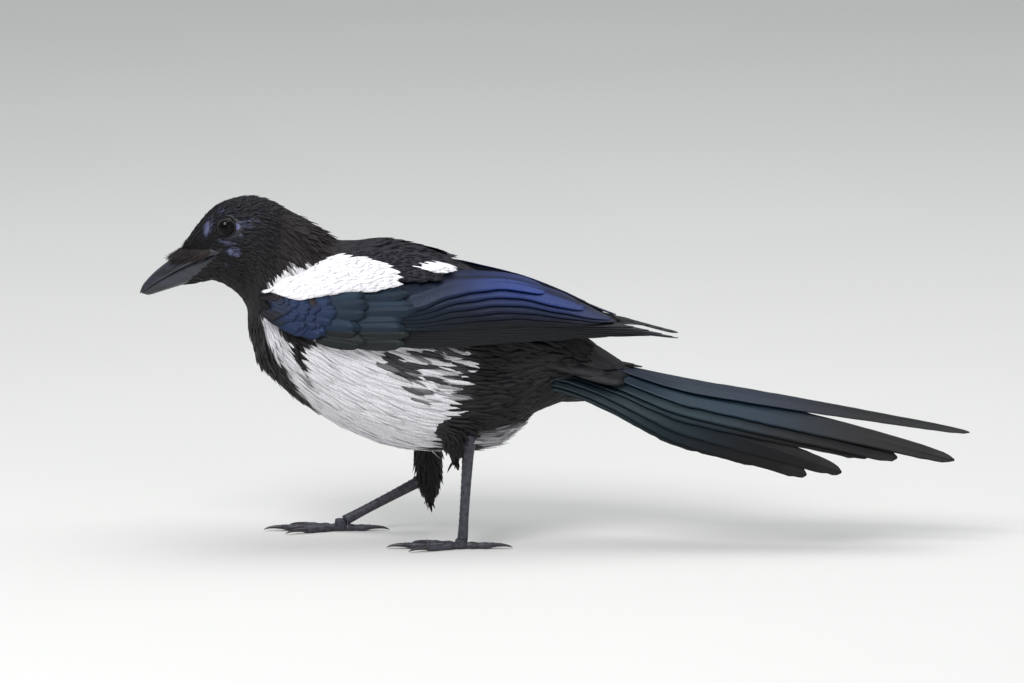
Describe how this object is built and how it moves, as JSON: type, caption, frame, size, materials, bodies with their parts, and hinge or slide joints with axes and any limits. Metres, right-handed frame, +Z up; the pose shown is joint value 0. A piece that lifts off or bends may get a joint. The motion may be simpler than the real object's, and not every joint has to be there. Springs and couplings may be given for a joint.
{
  "type": "eurasian magpie",
  "caption": "Standing magpie, life size: black head, back and breast, white shoulder and belly, blue-green folded wings and a long graduated tail.",
  "frame": {"origin": "middle of the bird's box, on the floor", "axes": "+Z up, the bird faces -X, its left side is -Y"},
  "size_m": [0.3806, 0.0762, 0.1609],
  "materials": {
    "plumage_black": "glossy black body feathers",
    "plumage_white": "soft white belly and shoulder feathers",
    "wing_feathers": "iridescent blue to green flight feathers and coverts",
    "tail_feathers": "iridescent green-blue tail feathers with dark ends",
    "bill_horn": "slate-black horn",
    "eye": "wet dark brown",
    "leg_scales": "purplish slate scales",
    "claw_horn": "black horn"
  },
  "bodies": {
    "root": {"head": "plumage_black", "neck": "plumage_black", "torso": "plumage_white", "rump": "plumage_black", "bill_upper": "bill_horn", "bill_lower": "bill_horn", "wing_left": "wing_feathers", "wing_right": "wing_feathers", "tail": "tail_feathers", "eye_left": "eye", "thigh_left": "plumage_black", "tarsus_left": "leg_scales", "foot_left": "leg_scales", "claw_left_middle": "claw_horn", "claw_left_inner": "claw_horn", "claw_left_outer": "claw_horn", "claw_left_hind": "claw_horn", "eye_right": "eye", "thigh_right": "plumage_black", "tarsus_right": "leg_scales", "foot_right": "leg_scales", "claw_right_middle": "claw_horn", "claw_right_inner": "claw_horn", "claw_right_outer": "claw_horn", "claw_right_hind": "claw_horn"}
  },
  "joints": []
}
